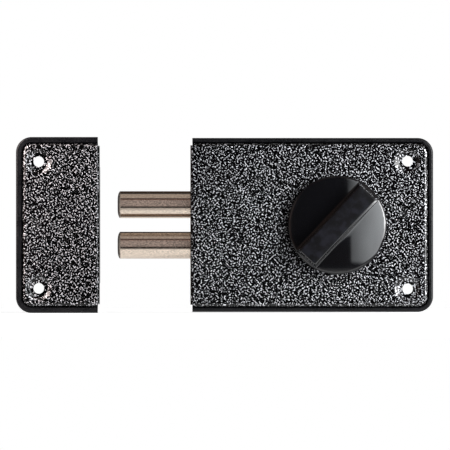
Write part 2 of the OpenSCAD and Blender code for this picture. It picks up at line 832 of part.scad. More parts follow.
// Long pan-head screw from the back of the hub, through the spindle, into the knob's insert
module hub_screw() {
    upright() color([0.72, 0.7, 0.6]) difference() {
        union() {
            translate([0, 0, hub_web - hub_screw_head]) cylinder(d = hub_screw_head_d, h = hub_screw_head);
            translate([0, 0, hub_web])
                cylinder(d = hub_screw_d, h = insert_bottom + insert_length - hub_web);
        }
        for (a = [0, 90])
            translate([0, 0, hub_web - hub_screw_head - cut]) rotate(a)
                translate([-hub_screw_cross[0] / 2, -hub_screw_cross[1] / 2, 0])
                    cube(hub_screw_cross + [0, 0, cut]);
    }
}

// Threaded brass insert moulded into the knob, over the spindle's end
module knob_insert() {
    upright() color([0.78, 0.62, 0.3]) translate([0, 0, insert_bottom]) difference() {
        cylinder(d = insert_d, h = insert_length);
        translate([0, 0, -cut]) cylinder(d = hub_screw_d + 2 * seat_fit, h = insert_length + 2 * cut);
    }
}

// Thrust washer between the cover's bush and the knob
module knob_washer() {
    bottom = case_depth + bush_proud + seat_fit;
    upright() color([0.85, 0.85, 0.82]) translate([0, 0, bottom]) difference() {
        cylinder(d = cover_bush_d + 5, h = knob_bottom - seat_fit - bottom);
        translate([0, 0, -cut]) cylinder(d = spindle_hole * sqrt(2) + air, h = knob_gap + 2 * cut);
    }
}

// Profile of the knob's skirt, its rounded edge and its dome, closed at the axis
module knob_profile() {
    r = knob_d / 2;
    edge_centre = [r - knob_edge, knob_skirt - knob_edge];
    dome_radius = (edge_centre[0] + knob_edge * sin(knob_slope)) / sin(knob_slope);
    dome_centre = [0, edge_centre[1] + (knob_edge - dome_radius) * cos(knob_slope)];
    dome = [for (i = [1:12]) let (a = knob_slope * (1 - i / 12))
        dome_centre + dome_radius * [sin(a), cos(a)]];
    polygon(concat([[0, 0], [r, 0]], arc(edge_centre, knob_edge, 0, 90 - knob_slope, 8), dome));
}

// Grip with drafted sides and softened top edges
module grip() {
    soft = 0.7;
    low = knob_edge;
    spread = (knob_height - low) * tan(grip_draft);
    hull() {
        for (x = [1, -1], y = [1, -1])
            translate([x * (grip_length / 2 - soft), y * (grip_width / 2 - soft), knob_height - soft])
                sphere(r = soft, $fn = 24);
        translate([-grip_length / 2 - spread, -grip_width / 2 - spread, low])
            cube([grip_length + 2 * spread, grip_width + 2 * spread, 0.01]);
    }
}

// Moulded knob: domed skirt and grip, hollow behind, with a cored block round the spindle on four ribs
module knob() {
    cavity_top = knob_skirt - knob_wall;
    block = [spindle_square + 5, grip_width - knob_wall];
    hollow = [grip_length - 2 * knob_wall, grip_width - 2 * knob_wall];
    upright() color([0.03, 0.03, 0.035]) translate([0, 0, knob_bottom]) rotate(grip_angle) difference() {
        union() {
            difference() {
                union() {
                    rotate_extrude() knob_profile();
                    intersection() {
                        grip();
                        cylinder(d = knob_d - 0.2, h = knob_height + cut);
                    }
                }
                translate([0, 0, -cut]) cylinder(d = knob_d - 2 * knob_wall, h = cavity_top + cut);
                translate([-hollow[0] / 2, -hollow[1] / 2, -cut])
                    cube([hollow[0], hollow[1], knob_height - knob_wall + cut]);
            }
            translate([-block[0] / 2, -block[1] / 2, 0])
                cube([block[0], block[1], knob_height - knob_wall]);
            cylinder(d = block[0] + knob_wall, h = cavity_top + seat_fit);
            for (a = [0:90:270])
                rotate(a + 45) translate([0, -knob_rib / 2, knob_rib])
                    cube([(knob_d - knob_wall) / 2, knob_rib, cavity_top - knob_rib + seat_fit]);
        }
        translate([-spindle_hole / 2, -spindle_hole / 2, -cut])
            cube([spindle_hole, spindle_hole, spindle_top + slide_fit - knob_bottom + cut]);
        translate([0, 0, spindle_top - knob_bottom])
            cylinder(d = insert_d, h = insert_bottom + insert_length - spindle_top);
    }
}

module strike_back_plate() {
    in_strike() color([0.09, 0.09, 0.1])
        back_plate_with_flange(strike_length, strike_height, strike_screw, strike_pillar_places)
            for (s = [1, -1])
                translate([guard_screw_x, s * guard_screw_y, 0])
                    countersunk_hole(assembly_screw_d + 2 * slide_fit, head_d, head_depth, back_plate);
}

module strike_surround() {
    in_strike() color([0.06, 0.06, 0.07])
        surround(strike_length, strike_height, strike_wall, strike_pillar_places);
}

module strike_cover() {
    in_strike() color([0.36, 0.36, 0.38])
        cover(strike_length, strike_height, strike_wall, strike_screw, bolt_d + 2 * strike_hole_gap);
}

module strike_pillars() {
    in_strike() color([0.7, 0.7, 0.68]) pillars(strike_pillar_places);
}

module strike_screws() {
    in_strike() color([0.72, 0.7, 0.6])
        for (p = strike_pillar_places)
            translate(p) countersunk_screw(case_screw_length);
}

module strike_spacers() {
    in_strike() color([0.7, 0.7, 0.68]) spacers(strike_screw);
}

// Guard plate behind the strike's front wall, standing on a foot
module strike_guard() {
    in_strike() color([0.6, 0.6, 0.62]) translate([guide_front, 0, 0]) difference() {
        translate([0, guard_half, 0]) rotate(-90) run(2 * guard_half) mirror([0, 1])
            bent_sheet(guard_foot, -back_plate, -guard_top, guard_plate, guard_bend);
        for (s = [1, -1]) {
            translate([-cut, s * bolt_spacing / 2, bolt_height]) rotate([0, 90, 0])
                cylinder(d = bolt_d + 2 * strike_hole_gap, h = guard_plate + 2 * cut);
            translate([guard_screw_x - guide_front, s * guard_screw_y, back_plate - cut])
                cylinder(d = assembly_screw_d + 2 * seat_fit, h = guard_plate + 2 * cut);
        }
    }
}

module guard_screws() {
    in_strike() color([0.72, 0.7, 0.6])
        for (s = [1, -1])
            translate([guard_screw_x, s * guard_screw_y, 0])
                countersunk_screw(back_plate + guard_plate + 1);
}

case_back_plate();
case_surround();
case_cover();
cover_pillars();
case_screws();
screw_spacers();
bolt_guide();
guide_screws();
carriage_posts();
post_clips();
rear_bush();
cover_bush();
detent_spring();
spring_posts();
carriage();
bolt_upper();
bolt_lower();
tail_washers();
tail_screws();
knob();
knob_insert();
knob_spindle();
pinion_hub();
hub_screw();
knob_washer();
strike_back_plate();
strike_surround();
strike_cover();
strike_pillars();
strike_screws();
strike_spacers();
strike_guard();
guard_screws();
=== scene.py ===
"""Rim box lock: loads the packed lock, gives every piece its finish and sets it on a pale studio plate."""

import math

import bmesh
import bpy
from bpy.props import FloatProperty, FloatVectorProperty, IntProperty, PointerProperty
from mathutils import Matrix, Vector


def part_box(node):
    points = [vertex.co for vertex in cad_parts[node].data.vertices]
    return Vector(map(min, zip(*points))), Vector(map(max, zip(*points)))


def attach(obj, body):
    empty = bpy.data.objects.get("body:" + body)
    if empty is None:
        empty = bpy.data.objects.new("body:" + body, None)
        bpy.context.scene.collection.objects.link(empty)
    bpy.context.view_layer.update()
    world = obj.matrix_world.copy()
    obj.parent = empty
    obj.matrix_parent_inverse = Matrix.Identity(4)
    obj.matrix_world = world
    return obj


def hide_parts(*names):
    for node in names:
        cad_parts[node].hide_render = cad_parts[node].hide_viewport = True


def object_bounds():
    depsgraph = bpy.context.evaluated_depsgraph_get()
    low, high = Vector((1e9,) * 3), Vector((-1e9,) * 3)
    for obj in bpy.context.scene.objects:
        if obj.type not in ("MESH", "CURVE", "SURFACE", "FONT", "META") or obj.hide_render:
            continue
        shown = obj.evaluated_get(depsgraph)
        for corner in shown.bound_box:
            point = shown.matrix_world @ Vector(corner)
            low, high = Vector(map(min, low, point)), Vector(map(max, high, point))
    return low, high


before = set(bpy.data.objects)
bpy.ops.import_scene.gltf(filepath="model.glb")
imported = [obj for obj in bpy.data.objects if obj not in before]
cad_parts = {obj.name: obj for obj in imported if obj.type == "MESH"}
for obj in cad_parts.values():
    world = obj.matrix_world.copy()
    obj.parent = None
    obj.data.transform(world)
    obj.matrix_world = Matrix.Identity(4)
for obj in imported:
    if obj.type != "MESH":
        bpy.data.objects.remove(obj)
cad_low, cad_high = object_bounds()

bl_info = {
    "name": "Rim box lock",
    "version": (1, 0, 0),
    "blender": (4, 5, 0),
    "location": "3D View > Sidebar > Rim lock",
    "description": "Dresses a surface-mounted box lock and its strike, and sets the studio round them",
    "category": "Object",
}


def tone(red, green, blue):
    """Linear colour of a tone that is given in 0 to 255 display values."""
    def linear(value):
        value /= 255
        return value / 12.92 if value <= 0.04045 else ((value + 0.055) / 1.055) ** 2.4
    return linear(red), linear(green), linear(blue)


# Settings: the sizes and colours that a user would change.


def length_setting(name, description, default, least):
    """A length in metres, with the least that it may be."""
    return FloatProperty(name=name, description=description, default=default, min=least, unit='LENGTH')


def angle_setting(name, description, degrees):
    """An angle, which the panel shows in degrees."""
    return FloatProperty(name=name, description=description, default=math.radians(degrees), subtype='ANGLE')


def colour_setting(name, description, default):
    """A linear colour."""
    return FloatVectorProperty(name=name, description=description, default=default, subtype='COLOR')


class KnobSettings(bpy.types.PropertyGroup):
    """Sizes of the turn knob."""

    diameter: length_setting("Diameter", "Width of the knob's skirt", 0.051, least=0.03)
    skirt: length_setting("Skirt", "Height of the skirt", 0.006, least=0.004)
    slope: angle_setting("Slope", "Slope of the domed face at its edge", degrees=16)
    edge: length_setting("Edge", "Radius between skirt and dome", 0.001, least=0.0003)
    height: length_setting("Height", "Whole height of the knob", 0.0184, least=0.01)
    grip_length: length_setting("Grip length", "Length of the grip at its top", 0.046, least=0.02)
    grip_width: length_setting("Grip width", "Width of the grip at its top", 0.011, least=0.005)
    grip_draft: angle_setting("Draft", "Lean of the grip's sides", degrees=6)
    grip_angle: angle_setting("Grip angle", "Angle of the grip above the horizontal", degrees=47)
    grip_edge: length_setting("Grip edge", "Radius of the grip's upper edges", 0.0009, least=0.0002)
    fillet: length_setting("Fillet", "Size of the fillet between grip and dome", 0.0011, least=0.0002)


class PaintSettings(bpy.types.PropertyGroup):
    """Hammered paint of the two covers."""

    silver: colour_setting("Silver", "Colour of the paint's metal flakes", tone(205, 205, 209))
    black: colour_setting("Black", "Colour of the paint between them", tone(2, 2, 2))
    cell: length_setting("Cell", "Spacing of the paint's cells", 0.00078, least=0.0003)
    cover: FloatProperty(name="Black share", description="How much of the paint is black",
                         default=0.575, min=0.3, max=0.7, subtype='FACTOR')
    depth: length_setting("Depth", "Height of the hammered relief", 0.00004, least=0.0)


class FinishSettings(bpy.types.PropertyGroup):
    """Colours of the plain finishes."""

    surround: colour_setting("Surrounds", "Colour of the satin black surrounds", tone(4, 4, 6))
    plate: colour_setting("Back plates", "Colour of the powder-coated back plates", tone(16, 16, 18))
    bolt: colour_setting("Bolts", "Colour of the nickel-plated bolts", (0.73, 0.62, 0.52))
    zinc: colour_setting("Zinc", "Colour of zinc-plated steel", (0.62, 0.64, 0.66))
    yellow: colour_setting("Screws", "Colour of the yellow-zinc screws", (0.72, 0.62, 0.38))
    brass: colour_setting("Brass", "Colour of the bushes", (0.80, 0.58, 0.26))
    knob: colour_setting("Knob", "Colour of the moulded knob", tone(10, 10, 12))


class ScrewSettings(bpy.types.PropertyGroup):
    """Countersunk cross-head assembly screws."""

    diameter: length_setting("Diameter", "Width over the thread", 0.004, least=0.001)
    head: length_setting("Head", "Width of the head", 0.0074, least=0.002)
    pitch: length_setting("Pitch", "Distance between two turns of the thread", 0.0007, least=0.0003)
    cross: length_setting("Cross", "Width of the cross's arms", 0.0009, least=0.0003)
    seed: IntProperty(name="Seed", description="Seed for how far each screw is turned", default=7)


class StudioSettings(bpy.types.PropertyGroup):
    """Camera and lamps."""

    distance: length_setting("Distance", "Camera to the covers' faces", 9.0, least=0.5)
    width: length_setting("View width", "Width of the view at the covers' faces", 0.23265, least=0.05)
    centre: FloatProperty(name="View centre", description="The view's centre along the lock",
                          default=-0.0581, unit='LENGTH')
    window: FloatProperty(name="Window", description="Brightness of the large lamp on the right",
                          default=2.6, min=0.0)
    side: FloatProperty(name="Side", description="Brightness of the small lamps beside the lock",
                        default=24.0, min=0.0)
    fill: FloatProperty(name="Fill", description="Brightness of the lamp at the upper left",
                        default=0.2, min=0.0)


# Node helpers, and the shader groups that more than one finish uses.

# Sockets of a Mix node by index, as its float, vector and colour sockets share their names.
MIX_COLOUR_INPUTS = 0, 6, 7
MIX_COLOUR_OUTPUT = 2
MIX_FLOAT_INPUTS = 0, 2, 3
MIX_FLOAT_OUTPUT = 0


def add(tree, kind, label="", **values):
    """Adds a node with a label and sets its properties."""
    node = tree.nodes.new(kind)
    node.label = label
    for key, value in values.items():
        setattr(node, key, value)
    return node


def join(tree, source, target):
    """Links one socket to another."""
    tree.links.new(source, target)


def feed(tree, value, slot):
    """Gives an input what it follows: a socket, a number or a colour."""
    if isinstance(value, bpy.types.NodeSocket):
        join(tree, value, slot)
    elif isinstance(value, (int, float)):
        slot.default_value = value
    else:
        slot.default_value = (*value[:3], 1)


def math_node(tree, operation, first, second=None, clamp=False):
    """A maths node on sockets or plain numbers; gives its output."""
    node = add(tree, 'ShaderNodeMath', operation=operation, use_clamp=clamp)
    feed(tree, first, node.inputs[0])
    if second is not None:
        feed(tree, second, node.inputs[1])
    return node.outputs[0]


def product(tree, first, second):
    """Two sockets or plain numbers multiplied."""
    return math_node(tree, 'MULTIPLY', first, second)


def vector_of(tree, *parts):
    """A vector from three sockets or plain numbers."""
    node = add(tree, 'ShaderNodeCombineXYZ')
    for slot, value in zip(node.inputs, parts):
        feed(tree, value, slot)
    return node.outputs[0]


def parts_of(tree, label, vector):
    """The three parts of a vector."""
    node = add(tree, 'ShaderNodeSeparateXYZ', label)
    join(tree, vector, node.inputs[0])
    return node.outputs


def noise(tree, label, vector, scale, detail=2.0):
    """A noise texture's value of 0 to 1; its scale and detail are sockets or plain numbers."""
    node = add(tree, 'ShaderNodeTexNoise', label)
    join(tree, vector, node.inputs['Vector'])
    feed(tree, scale, node.inputs['Scale'])
    feed(tree, detail, node.inputs['Detail'])
    return node.outputs[0]


def mix_colour(tree, factor, first, second):
    """Mixes two colours, each a socket or a plain colour; gives the result."""
    node = add(tree, 'ShaderNodeMix', data_type='RGBA', clamp_factor=True)
    for index, value in zip(MIX_COLOUR_INPUTS, (factor, first, second)):
        feed(tree, value, node.inputs[index])
    return node.outputs[MIX_COLOUR_OUTPUT]


def ramp(tree, value, low, high, start=0.0, end=1.0, smooth=True):
    """Carries a value from the range low to high into the range start to end, clamped."""
    node = add(tree, 'ShaderNodeMapRange', interpolation_type='SMOOTHSTEP' if smooth else 'LINEAR')
    join(tree, value, node.inputs['Value'])
    for name, number in (('From Min', low), ('From Max', high), ('To Min', start), ('To Max', end)):
        feed(tree, number, node.inputs[name])
    return node.outputs['Result']


def new_group(name, inputs, outputs):
    """An empty shader node group with a vector input, float inputs (name, default) and float outputs."""
    group = bpy.data.node_groups.new(name, 'ShaderNodeTree')
    vector = group.interface.new_socket("Vector", in_out='INPUT', socket_type='NodeSocketVector')
    vector.hide_value = True
    for label, value in inputs:
        socket = group.interface.new_socket(label, in_out='INPUT', socket_type='NodeSocketFloat')
        socket.default_value = value
    for label in outputs:
        group.interface.new_socket(label, in_out='OUTPUT', socket_type='NodeSocketFloat')
    return group, add(group, 'NodeGroupInput'), add(group, 'NodeGroupOutput')


def grain_group():
    """Fine grain of a coat or casting: a value for tone and roughness, and a height."""
    broad_scale = 0.06
    fine_share, broad_share = 0.6, 0.4
    darkest, palest = 0.3, 0.7
    group, given, gives = new_group("Fine grain", (("Scale", 1200.0), ("Detail", 3.0)), ("Tone", "Height"))
    vector, scale, detail = (given.outputs[name] for name in ("Vector", "Scale", "Detail"))
    fine = noise(group, "Grain", vector, scale, detail)
    broad = noise(group, "Broad tone", vector, product(group, scale, broad_scale))
    both = math_node(group, 'ADD', product(group, fine, fine_share), product(group, broad, broad_share))
    join(group, ramp(group, both, darkest, palest), gives.inputs['Tone'])
    join(group, fine, gives.inputs['Height'])
    return group


def streak_group():
    """Drawing or turning marks, long one way: a value for tone and roughness, and a height."""
    mark_share, speck_share = 0.75, 0.25
    darkest, palest = 0.32, 0.68
    group, given, gives = new_group("Tool marks", (("Scale", 900.0), ("Length", 0.04)), ("Tone", "Height"))
    vector, scale, length = (given.outputs[name] for name in ("Vector", "Scale", "Length"))
    scaled = add(group, 'ShaderNodeVectorMath', "Stretch", operation='MULTIPLY')
    join(group, vector, scaled.inputs[0])
    join(group, vector_of(group, length, 1, 1), scaled.inputs[1])
    marks = noise(group, "Marks", scaled.outputs[0], scale, 4)
    specks = noise(group, "Specks", vector, scale, 2)
    both = math_node(group, 'ADD', product(group, marks, mark_share), product(group, specks, speck_share))
    join(group, ramp(group, both, darkest, palest), gives.inputs['Tone'])
    join(group, both, gives.inputs['Height'])
    return group


GROUPS = {}


def shared(name):
    """The shader group of that name, built the first time that it is asked for."""
    if name not in GROUPS:
        GROUPS[name] = {"grain": grain_group, "streaks": streak_group}[name]()
    return GROUPS[name]


def use_group(tree, name, vector, **values):
    """Places a shared group in a material, with its own values."""
    node = add(tree, 'ShaderNodeGroup', name)
    node.node_tree = shared(name)
    join(tree, vector, node.inputs['Vector'])
    for key, value in values.items():
        node.inputs[key].default_value = value
    return node


def new_material(name):
    """A material with only its shader and output; gives tree, shader and the object coordinates."""
    material = bpy.data.materials.new(name)
    material.use_nodes = True
    tree = material.node_tree
    shader = tree.nodes['Principled BSDF']
    place = add(tree, 'ShaderNodeTexCoord', "Place")
    return material, tree, shader, place.outputs['Object']


def add_bump(tree, shader, height, distance):
    """Gives a shader a relief from a height of 0 to 1, which stands for a distance in metres."""
    bump = add(tree, 'ShaderNodeBump', "Relief")
    bump.inputs['Distance'].default_value = distance
    join(tree, height, bump.inputs['Height'])
    join(tree, bump.outputs[0], shader.inputs['Normal'])


# Finishes.


def follow_tone(tree, shader, value, colours, roughness):
    """Carries colour and roughness from the first of a pair to the second as a value goes from 0 to 1."""
    join(tree, mix_colour(tree, value, *colours), shader.inputs['Base Color'])
    join(tree, ramp(tree, value, 0, 1, *roughness), shader.inputs['Roughness'])


def hammered_paint(paint):
    """Silver paint drawn into a net of fine ridges round black cells, as hammered enamel sets."""
    ridge_lean = math.radians(40)
    layer_depth = 0.1 * paint.cell
    edge_softness = 0.1
    flakes_per_cell = 0.8
    flake_contrast = 0.3, 0.7
    dull_share = 0.5
    metal_share = 0.7
    black_roughness, silver_roughness = 0.3, 0.45
    material, tree, shader, place = new_material("hammered_cover")
    layer = add(tree, 'ShaderNodeVectorMath', "Cover's face to a layer of the noise", operation='ADD')
    layer.inputs[1].default_value = (0, layer_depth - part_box("case_cover")[0][1], 0)
    join(tree, place, layer.inputs[0])
    turned = add(tree, 'ShaderNodeVectorRotate', "Ridges lean", rotation_type='Y_AXIS')
    turned.inputs['Angle'].default_value = ridge_lean
    join(tree, layer.outputs[0], turned.inputs['Vector'])
    cells = noise(tree, "Cells", turned.outputs[0], 1.0 / paint.cell, 0.0)
    flakes = noise(tree, "Flakes", place, flakes_per_cell / paint.cell, 0.0)
    mask = ramp(tree, cells, paint.cover, paint.cover + edge_softness)
    bright = ramp(tree, flakes, *flake_contrast)
    dull = tuple(dull_share * channel for channel in paint.silver)
    silver = mix_colour(tree, bright, dull, paint.silver)
    follow_tone(tree, shader, mask, (paint.black, silver), (black_roughness, silver_roughness))
    join(tree, product(tree, mask, metal_share), shader.inputs['Metallic'])
    shader.inputs['Specular IOR Level'].default_value = 0.0
    shader.inputs['Coat Weight'].default_value = 0.6
    shader.inputs['Coat Roughness'].default_value = 0.12
    add_bump(tree, shader, mask, paint.depth)
    return material


def satin_black(name, colour, roughness, scale):
    """Fine-grained black coat: paler and rougher on the high grains."""
    relief = 0.00004
    paler, lifted = 1.7, 0.002
    smoother, rougher = 0.06, 0.08
    material, tree, shader, place = new_material(name)
    shader.inputs['Specular IOR Level'].default_value = 0.22
    grain = use_group(tree, "grain", place, Scale=scale, Detail=2.0)
    pale = tuple(paler * channel + lifted for channel in colour)
    follow_tone(tree, shader, grain.outputs['Tone'], (colour, pale),
                (roughness - smoother, roughness + rougher))
    add_bump(tree, shader, grain.outputs['Height'], relief)
    return material


def metal(name, colour, roughness, scale, length=1.0, spread=0.12, relief=0.00001):
    """Bare or plated metal; its marks run along X where length is below 1, and spread is their contrast."""
    rougher, smoother = 0.1, 0.04
    material, tree, shader, place = new_material(name)
    marks = use_group(tree, "streaks", place, Scale=scale, Length=length)
    dark = tuple(channel * (1 - 2 * spread) for channel in colour)
    follow_tone(tree, shader, marks.outputs['Tone'], (dark, colour),
                (roughness + rougher, roughness - smoother))
    shader.inputs['Metallic'].default_value = 1.0
    add_bump(tree, shader, marks.outputs['Height'], relief)
    return material


def scatter_tip(material, plain, turned):
    """Makes the turned tip of a bolt rougher and less mirror-like, from one X to another."""
    added_roughness = 0.45
    lost_metal = 0.7
    tree = material.node_tree
    shader = tree.nodes['Principled BSDF']
    place = parts_of(tree, "Along the bolt", add(tree, 'ShaderNodeTexCoord').outputs['Object'])
    tip = ramp(tree, place['X'], plain, turned)
    rough = shader.inputs['Roughness'].links[0].from_socket
    rougher = math_node(tree, 'ADD', rough, product(tree, tip, added_roughness))
    join(tree, rougher, shader.inputs['Roughness'])
    duller = math_node(tree, 'SUBTRACT', 1.0, product(tree, tip, lost_metal))
    join(tree, duller, shader.inputs['Metallic'])


def moulded_black(finish, knob_top, rim_top):
    """Gloss black moulding, duller on the skirt, matt and faintly mottled on the flat top of the grip."""
    matt_from, matt_full = knob_top + 0.00025, knob_top + 0.00008
    skirt_height = 0.0003
    skirt_coat = 0.3
    grain_scale, mottle_scale, mottle_contrast = 1500.0, 260.0, (0.38, 0.66)
    matt_black, matt_grey, mottle_grey = tone(1, 1, 2), tone(9, 9, 12), tone(20, 20, 26)
    matt_roughness, gloss_roughness = (0.5, 0.62), (0.1, 0.14)
    relief = 0.00003
    material, tree, shader, place = new_material("knob_black")
    shader.inputs['Specular IOR Level'].default_value = 0.1
    shader.inputs['Coat Roughness'].default_value = 0.045
    depth = parts_of(tree, "Depth", place)['Y']
    top = ramp(tree, depth, matt_from, matt_full)
    grain = use_group(tree, "grain", place, Scale=grain_scale, Detail=3.0)
    clouds = noise(tree, "Clouds", place, mottle_scale, 3.0)
    fine = mix_colour(tree, grain.outputs['Tone'], matt_black, matt_grey)
    matt = mix_colour(tree, ramp(tree, clouds, *mottle_contrast), fine, mottle_grey)
    join(tree, mix_colour(tree, top, finish.knob, matt), shader.inputs['Base Color'])
    rough = ramp(tree, grain.outputs['Tone'], 0, 1, *matt_roughness)
    gloss = ramp(tree, grain.outputs['Tone'], 0, 1, *gloss_roughness)
    either = add(tree, 'ShaderNodeMix', "Gloss or matt", data_type='FLOAT')
    for index, socket in zip(MIX_FLOAT_INPUTS, (top, gloss, rough)):
        join(tree, socket, either.inputs[index])
    join(tree, either.outputs[MIX_FLOAT_OUTPUT], shader.inputs['Roughness'])
    skirt = ramp(tree, depth, rim_top, rim_top + skirt_height, 1.0, skirt_coat)
    join(tree, math_node(tree, 'SUBTRACT', skirt, top, clamp=True), shader.inputs['Coat Weight'])
    add_bump(tree, shader, product(tree, grain.outputs['Height'], top), relief)
    return material


def plain_moulding(name, colour, roughness):
    """Plain moulded plastic with a faint grain."""
    dark_share, rougher = 0.85, 0.1
    material, tree, shader, place = new_material(name)
    grain = use_group(tree, "grain", place, Scale=900.0, Detail=2.0)
    dark = tuple(dark_share * channel for channel in colour)
    follow_tone(tree, shader, grain.outputs['Tone'], (dark, colour), (roughness, roughness + rougher))
    return material


def dress(material, *nodes):
    """Gives a finish to CAD nodes, which keep their shapes."""
    for name in nodes:
        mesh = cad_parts[name].data
        mesh.materials.clear()
        mesh.materials.append(material)


def new_object(name, data):
    """An object with that data, linked to the scene."""
    item = bpy.data.objects.new(name, data)
    bpy.context.scene.collection.objects.link(item)
    return item


def smooth_piece(name, mesh, crease):
    """A piece that is shaded smooth, but for edges sharper than an angle in degrees."""
    for face in mesh.polygons:
        face.use_smooth = True
    mesh.set_sharp_from_angle(angle=math.radians(crease))
    return new_object(name, mesh)


# The turn knob.


def across(angle, half_length, half_width, corner):
    """Distance from the centre of a rounded rectangle to its edge, at an angle from its long axis."""
    almost_nothing = 1e-9
    along, aside = abs(math.cos(angle)), abs(math.sin(angle))
    reach = min(half_length / max(along, almost_nothing), half_width / max(aside, almost_nothing))
    centre = half_length - corner, half_width - corner
    if reach * along > centre[0] and reach * aside > centre[1]:
        middle = along * centre[0] + aside * centre[1]
        reach = middle + math.sqrt(max(middle ** 2 - centre[0] ** 2 - centre[1] ** 2 + corner ** 2, 0))
    return reach


class KnobShape:
    """The knob's surface as radius and height at each angle about its axis."""

    # Least corner radius of the grip, and its least distance from the knob's side.
    LEAST = 0.0001
    # Points of a profile: on the flat top as shares of its reach, then how many on each stretch below it.
    TOP_SHARES = 0.5, 1.0
    EDGE_STEPS = 6
    WALL_STEPS = 7
    FILLET_STEPS = 7
    SKIN_STEPS = 30
    # Points that the skin's path is measured by, and how much closer its own points lie near the skirt.
    PATH_STEPS = 60
    CROWDING = 1.7
    FOOT_ROUNDS = 25
    # The grip's corners against its top edge's radius, and the most of the dome that the fillet takes up.
    CORNER_TO_EDGE = 1.3
    FILLET_SHARE = 0.55

    def __init__(self, sizes):
        self.sizes = sizes
        self.radius = sizes.diameter / 2
        self.edge_centre = self.radius - sizes.edge, sizes.skirt - sizes.edge
        sine = math.sin(sizes.slope)
        self.tangent = self.edge_centre[0] + sizes.edge * sine
        self.dome_radius = self.tangent / sine
        self.dome_centre = self.edge_centre[1] + (sizes.edge - self.dome_radius) * math.cos(sizes.slope)

    def skin(self, radius):
        """Height of the dome or of the rounded edge at a radius."""
        if radius <= self.tangent:
            return self.dome_centre + math.sqrt(self.dome_radius ** 2 - radius ** 2)
        rise = self.sizes.edge ** 2 - (radius - self.edge_centre[0]) ** 2
        return self.edge_centre[1] + math.sqrt(max(rise, 0))

    def wall(self, angle, height, inset=0.0):
        """Radius of the grip's side at a height, which leans out towards the dome."""
        sizes = self.sizes
        spread = (sizes.height - height) * math.tan(sizes.grip_draft) - inset
        corner = max(sizes.grip_edge * self.CORNER_TO_EDGE - inset, self.LEAST)
        reach = across(angle, sizes.grip_length / 2 + spread, sizes.grip_width / 2 + spread, corner)
        return min(reach, self.radius - self.LEAST)

    def foot(self, angle):
        """Where the grip's side meets the dome: radius and height, found by going back and forth."""
        height = self.sizes.skirt
        for _ in range(self.FOOT_ROUNDS):
            radius = self.wall(angle, height)
            height = self.skin(radius)
        return radius, height

    def skin_path(self, start, count):
        """Points on the dome, edge and skirt from a radius outwards, closer together near the skirt."""
        path = []
        steps = self.PATH_STEPS
        if start < self.tangent:
            for i in range(steps + 1):
                radius = start + (self.tangent - start) * i / steps
                path.append((radius, self.skin(radius)))
        cosine = (max(start, self.tangent) - self.edge_centre[0]) / self.sizes.edge
        first = math.acos(min(1.0, max(0.0, cosine)))
        for i in range(steps + 1):
            turn = first * (1 - i / steps)
            path.append((self.edge_centre[0] + self.sizes.edge * math.cos(turn),
                         self.edge_centre[1] + self.sizes.edge * math.sin(turn)))
        path.append((self.radius, 0.0))
        lengths = [0.0]
        for a, b in zip(path, path[1:]):
            lengths.append(lengths[-1] + math.dist(a, b))
        points = []
        k = 0
        for i in range(1, count + 1):
            goal = lengths[-1] * (1 - (1 - i / count) ** self.CROWDING)
            while k < len(path) - 2 and lengths[k + 1] < goal:
                k += 1
            span = lengths[k + 1] - lengths[k]
            share = (goal - lengths[k]) / span if span > 0 else 1.0
            points.append(tuple(p + (q - p) * min(share, 1.0) for p, q in zip(path[k], path[k + 1])))
        return points

    def column(self, angle):
        """The knob's profile at one angle: grip, fillet, dome and skirt, from the top down."""
        sizes = self.sizes
        soft = sizes.grip_edge
        points = []
        top = self.wall(angle, sizes.height, soft)
        points += [(top * share, sizes.height) for share in self.TOP_SHARES]
        for i in range(1, self.EDGE_STEPS + 1):
            turn = math.radians(90 * i / self.EDGE_STEPS)
            height = sizes.height - soft * (1 - math.cos(turn))
            points.append((self.wall(angle, height, soft * (1 - math.sin(turn))), height))
        radius, low = self.foot(angle)
        size = min(sizes.fillet, self.FILLET_SHARE * (self.radius - radius))
        above = points[-1][1]
        for i in range(1, self.WALL_STEPS + 1):
            height = above + (low + size - above) * i / self.WALL_STEPS
            points.append((self.wall(angle, height), height))
        wall_point = points[-1]
        dome_point = radius + size, self.skin(radius + size)
        for i in range(1, self.FILLET_STEPS + 1):
            t = i / self.FILLET_STEPS
            points.append(tuple((1 - t) ** 2 * a + 2 * t * (1 - t) * b + t * t * c
                                for a, b, c in zip(wall_point, (radius, low), dome_point)))
        return points + self.skin_path(dome_point[0], self.SKIN_STEPS)


def knob_angles():
    """Angles for the knob's columns: every degree, and finer over the grip's four corners."""
    corner_start, fine_step, fine_count = 10.5, 0.25, 33
    angles = {float(degree) for degree in range(360)}
    for end in (0, 180):
        for side in (1, -1):
            for step in range(fine_count):
                angles.add(round((end + side * (corner_start + fine_step * step)) % 360, 3))
    return sorted(angles)


